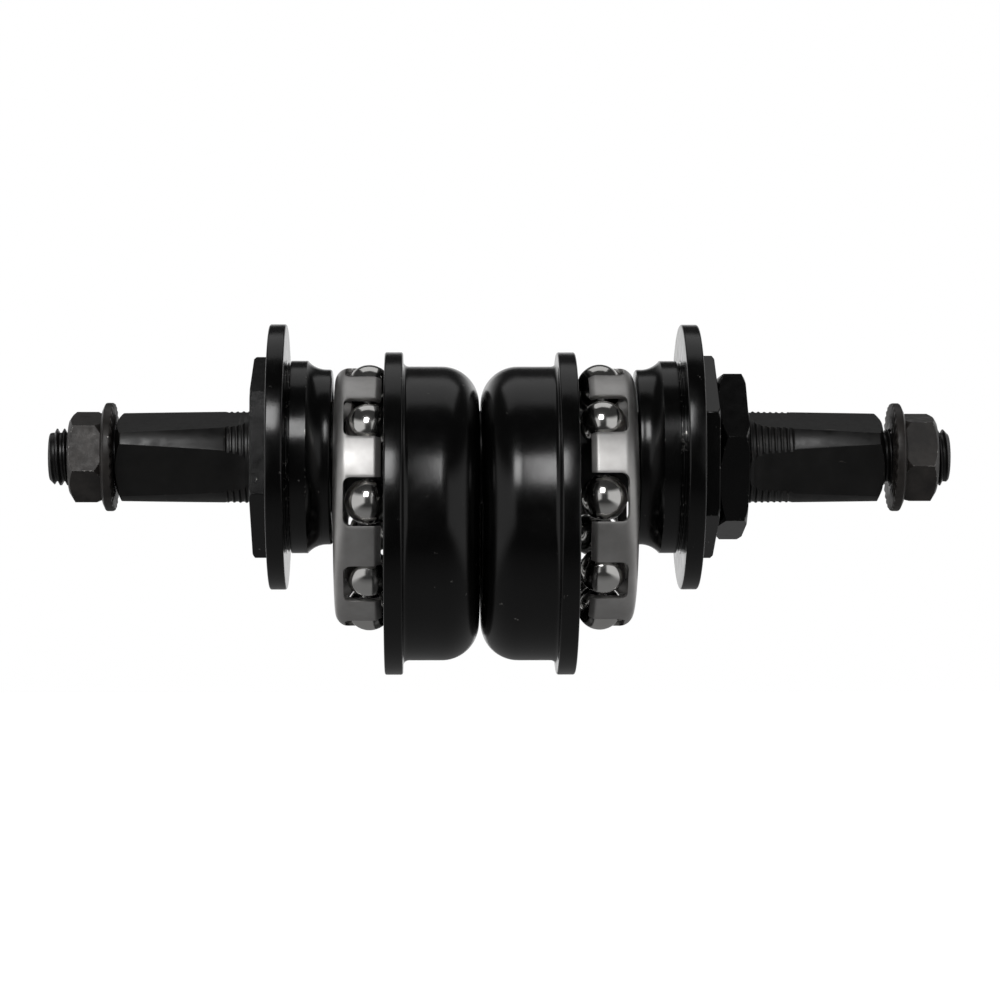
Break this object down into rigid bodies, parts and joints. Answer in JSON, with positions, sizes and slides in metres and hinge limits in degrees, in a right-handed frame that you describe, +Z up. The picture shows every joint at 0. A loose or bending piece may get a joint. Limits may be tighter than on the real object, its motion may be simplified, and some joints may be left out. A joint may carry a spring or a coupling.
{
  "type": "bottom bracket",
  "caption": "Bicycle bottom bracket with press-in cups, caged balls, cones and a nutted square-taper spindle, threaded loosely together with no shell.",
  "frame": {"origin": "middle of the drive cup's press seat, on the cup's axis", "axes": "+X along the spindle from the drive side to the adjusting side, +Z up, -Y the front"},
  "size_m": [0.1568, 0.0562, 0.0611],
  "materials": {
    "forged_steel": "dark oxide over milled steel, worn bright at the edges",
    "black_oxide": "semi-gloss black oxide",
    "cage_steel": "bright pressed sheet steel",
    "ball_steel": "polished bearing steel",
    "nut_black": "charcoal black oxide"
  },
  "bodies": {
    "drive_cup": {"drive_cup": "black_oxide"},
    "adjust_cup": {"adjust_cup": "black_oxide"},
    "spindle": {"spindle": "forged_steel", "drive_cone": "black_oxide", "drive_dust_washer": "black_oxide"},
    "drive_cage": {"drive_cage": "cage_steel", "drive_ball_1": "ball_steel", "drive_ball_2": "ball_steel", "drive_ball_3": "ball_steel", "drive_ball_4": "ball_steel", "drive_ball_5": "ball_steel", "drive_ball_6": "ball_steel", "drive_ball_7": "ball_steel", "drive_ball_8": "ball_steel", "drive_ball_9": "ball_steel"},
    "adjust_cage": {"adjust_cage": "cage_steel", "adjust_ball_1": "ball_steel", "adjust_ball_2": "ball_steel", "adjust_ball_3": "ball_steel", "adjust_ball_4": "ball_steel", "adjust_ball_5": "ball_steel", "adjust_ball_6": "ball_steel", "adjust_ball_7": "ball_steel", "adjust_ball_8": "ball_steel", "adjust_ball_9": "ball_steel"},
    "adjust_dust_washer": {"adjust_dust_washer": "black_oxide"},
    "adjust_cone": {"adjust_cone": "black_oxide"},
    "locknut": {"locknut": "black_oxide"},
    "drive_nut_washer": {"drive_nut_washer": "nut_black"},
    "drive_crank_nut": {"drive_crank_nut": "nut_black"},
    "adjust_nut_washer": {"adjust_nut_washer": "nut_black"},
    "adjust_crank_nut": {"adjust_crank_nut": "nut_black"}
  },
  "joints": [
    {"name": "spindle_turn", "type": "hinge", "parent": "drive_cup", "child": "spindle", "pos_m": [0.01305, 0, 0.00985], "axis": [1, 0, 0], "continuous": true},
    {"name": "adjust_cup_turn", "type": "hinge", "parent": "drive_cup", "child": "adjust_cup", "pos_m": [0.019, 0, 0], "axis": [1, 0, 0], "continuous": true},
    {"name": "drive_cage_turn", "type": "hinge", "parent": "drive_cup", "child": "drive_cage", "pos_m": [-0.0097, 0, 0.00284], "axis": [1, 0, 0], "continuous": true},
    {"name": "adjust_cage_turn", "type": "hinge", "parent": "drive_cup", "child": "adjust_cage", "pos_m": [0.0303, 0, 0.00284], "axis": [1, 0, 0], "continuous": true},
    {"name": "cone_adjust", "type": "slide", "parent": "spindle", "child": "adjust_dust_washer", "axis": [1, 0, 0], "range_m": [0, 0.0095]},
    {"name": "adjust_cone_turn", "type": "hinge", "parent": "adjust_dust_washer", "child": "adjust_cone", "pos_m": [0.03655, 0, 0.00985], "axis": [1, 0, 0], "range_deg": [0, 3235]},
    {"name": "locknut_turn", "type": "hinge", "parent": "adjust_dust_washer", "child": "locknut", "pos_m": [0.05305, 0, 0.00985], "axis": [1, 0, 0], "range_deg": [0, 3235]},
    {"name": "drive_nut_travel", "type": "slide", "parent": "spindle", "child": "drive_nut_washer", "axis": [-1, 0, 0], "range_m": [0, 0.0115]},
    {"name": "drive_nut_turn", "type": "hinge", "parent": "drive_nut_washer", "child": "drive_crank_nut", "pos_m": [-0.05795, 0, 0.00985], "axis": [-1, 0, 0], "range_deg": [0, 3314]},
    {"name": "adjust_nut_travel", "type": "slide", "parent": "spindle", "child": "adjust_nut_washer", "axis": [1, 0, 0], "range_m": [0, 0.0115]},
    {"name": "adjust_nut_turn", "type": "hinge", "parent": "adjust_nut_washer", "child": "adjust_crank_nut", "pos_m": [0.08525, 0, 0.00985], "axis": [1, 0, 0], "range_deg": [0, 3314]}
  ],
  "couplings": [
    {"joint": "drive_cage_turn", "follows": "spindle_turn", "ratio": 0.42757},
    {"joint": "adjust_cage_turn", "follows": "spindle_turn", "ratio": 0.42757},
    {"joint": "adjust_cone_turn", "follows": "cone_adjust", "rad_per_m": 5938.7},
    {"joint": "locknut_turn", "follows": "cone_adjust", "rad_per_m": 5938.7},
    {"joint": "drive_nut_turn", "follows": "drive_nut_travel", "rad_per_m": 5026.5},
    {"joint": "adjust_nut_turn", "follows": "adjust_nut_travel", "rad_per_m": 5026.5}
  ]
}
